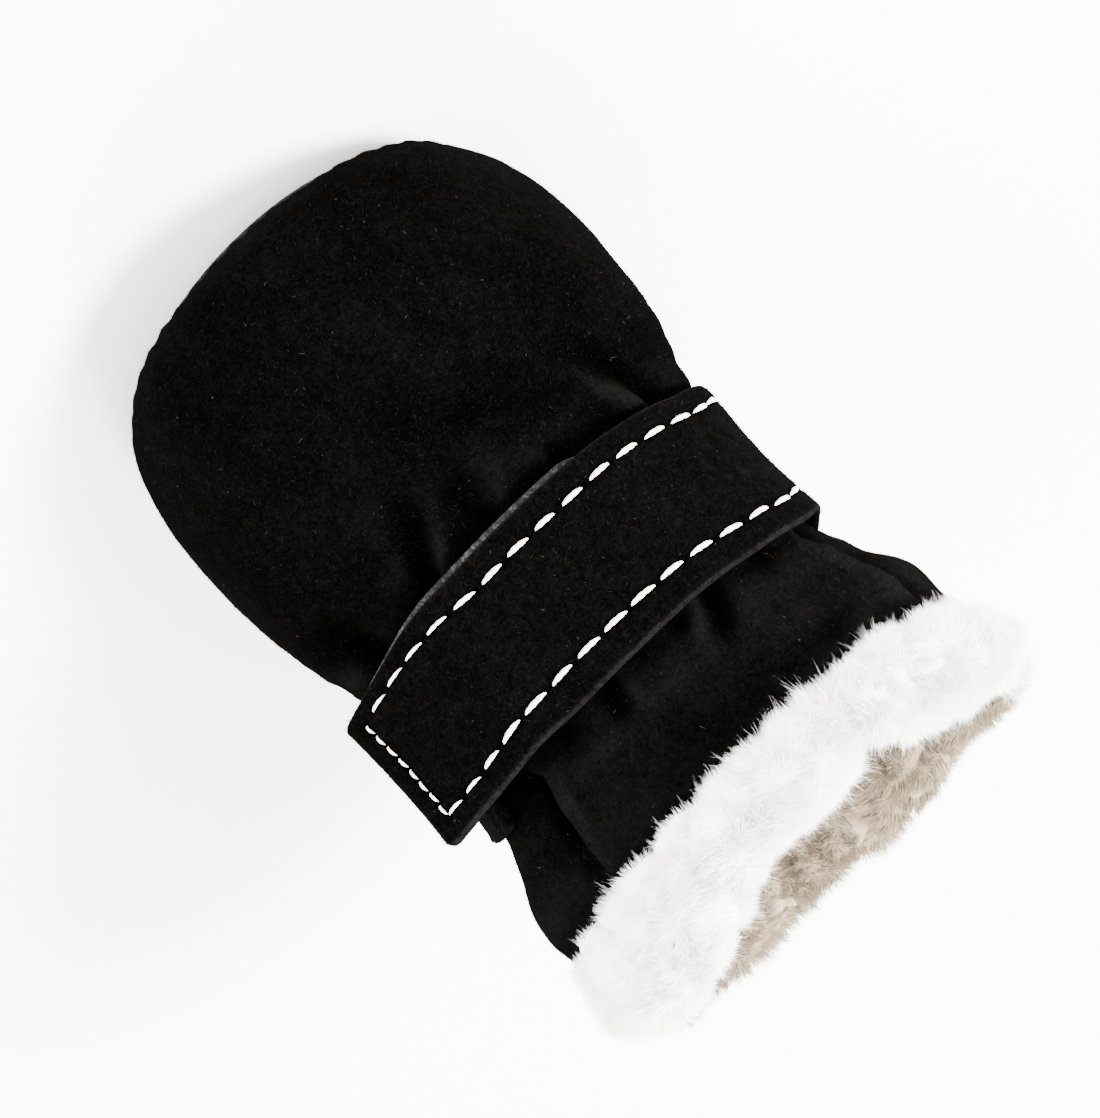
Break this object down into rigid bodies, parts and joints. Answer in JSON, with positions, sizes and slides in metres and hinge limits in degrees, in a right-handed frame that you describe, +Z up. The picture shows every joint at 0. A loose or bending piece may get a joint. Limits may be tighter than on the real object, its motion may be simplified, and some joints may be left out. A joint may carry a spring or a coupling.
{
  "type": "dog shoe",
  "caption": "Soft black suede-look winter boot for a small dog's paw, with a white plush lining turned out as a cuff, a stitched ankle strap and a thin flat sole.",
  "frame": {"origin": "middle of the sole's underside, on the plane that the boot stands on", "axes": "+Z up, toe towards -Y, heel towards +Y, the strap's free end at +X"},
  "size_m": [0.059, 0.0802, 0.0762],
  "materials": {
    "sole_leatherette": "matte black leatherette with a fine wrinkled grain",
    "plush_lining": "cream white plush pile",
    "upper_suede": "very matte black faux suede with a short nap",
    "plush_cuff": "white clumped plush pile",
    "strap_suede": "very matte black faux suede, white contrast stitching, grey hook tape behind",
    "loop_tape": "black brushed loop tape",
    "hook_tape": "grey woven hook tape behind the strap",
    "stitch_thread": "off-white twisted thread, slightly glossy"
  },
  "bodies": {
    "root": {"outsole": "sole_leatherette", "insole": "plush_lining", "upper": "upper_suede", "fur_cuff": "plush_cuff", "strap": "strap_suede", "loop_tab": "loop_tape"}
  },
  "joints": []
}
